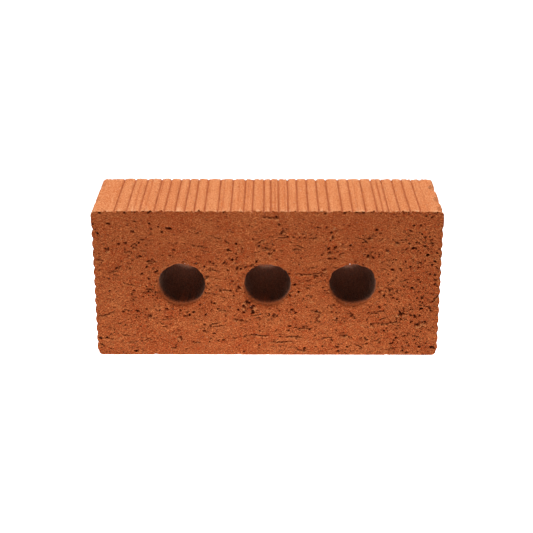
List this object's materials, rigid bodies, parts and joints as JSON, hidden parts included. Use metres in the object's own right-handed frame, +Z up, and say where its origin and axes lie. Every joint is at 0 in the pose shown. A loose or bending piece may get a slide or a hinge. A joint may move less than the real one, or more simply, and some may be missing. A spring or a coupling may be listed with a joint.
{
  "type": "cored clay brick",
  "caption": "Wire-cut fired clay brick with round cores through its beds, a scored long side, ribbed ends and a smooth long side to stand on.",
  "frame": {"origin": "middle of the smooth long side that the brick stands on", "axes": "+X along the length, +Y through the brick from one wire-cut bed to the other, along the cores, +Z up towards the scored long side"},
  "size_m": [0.203, 0.057, 0.092],
  "materials": {
    "fired_clay": "matt unglazed fired clay, paler on the die-smooth sides and darker on the wire-cut beds"
  },
  "bodies": {
    "root": {"brick": "fired_clay"}
  },
  "joints": []
}
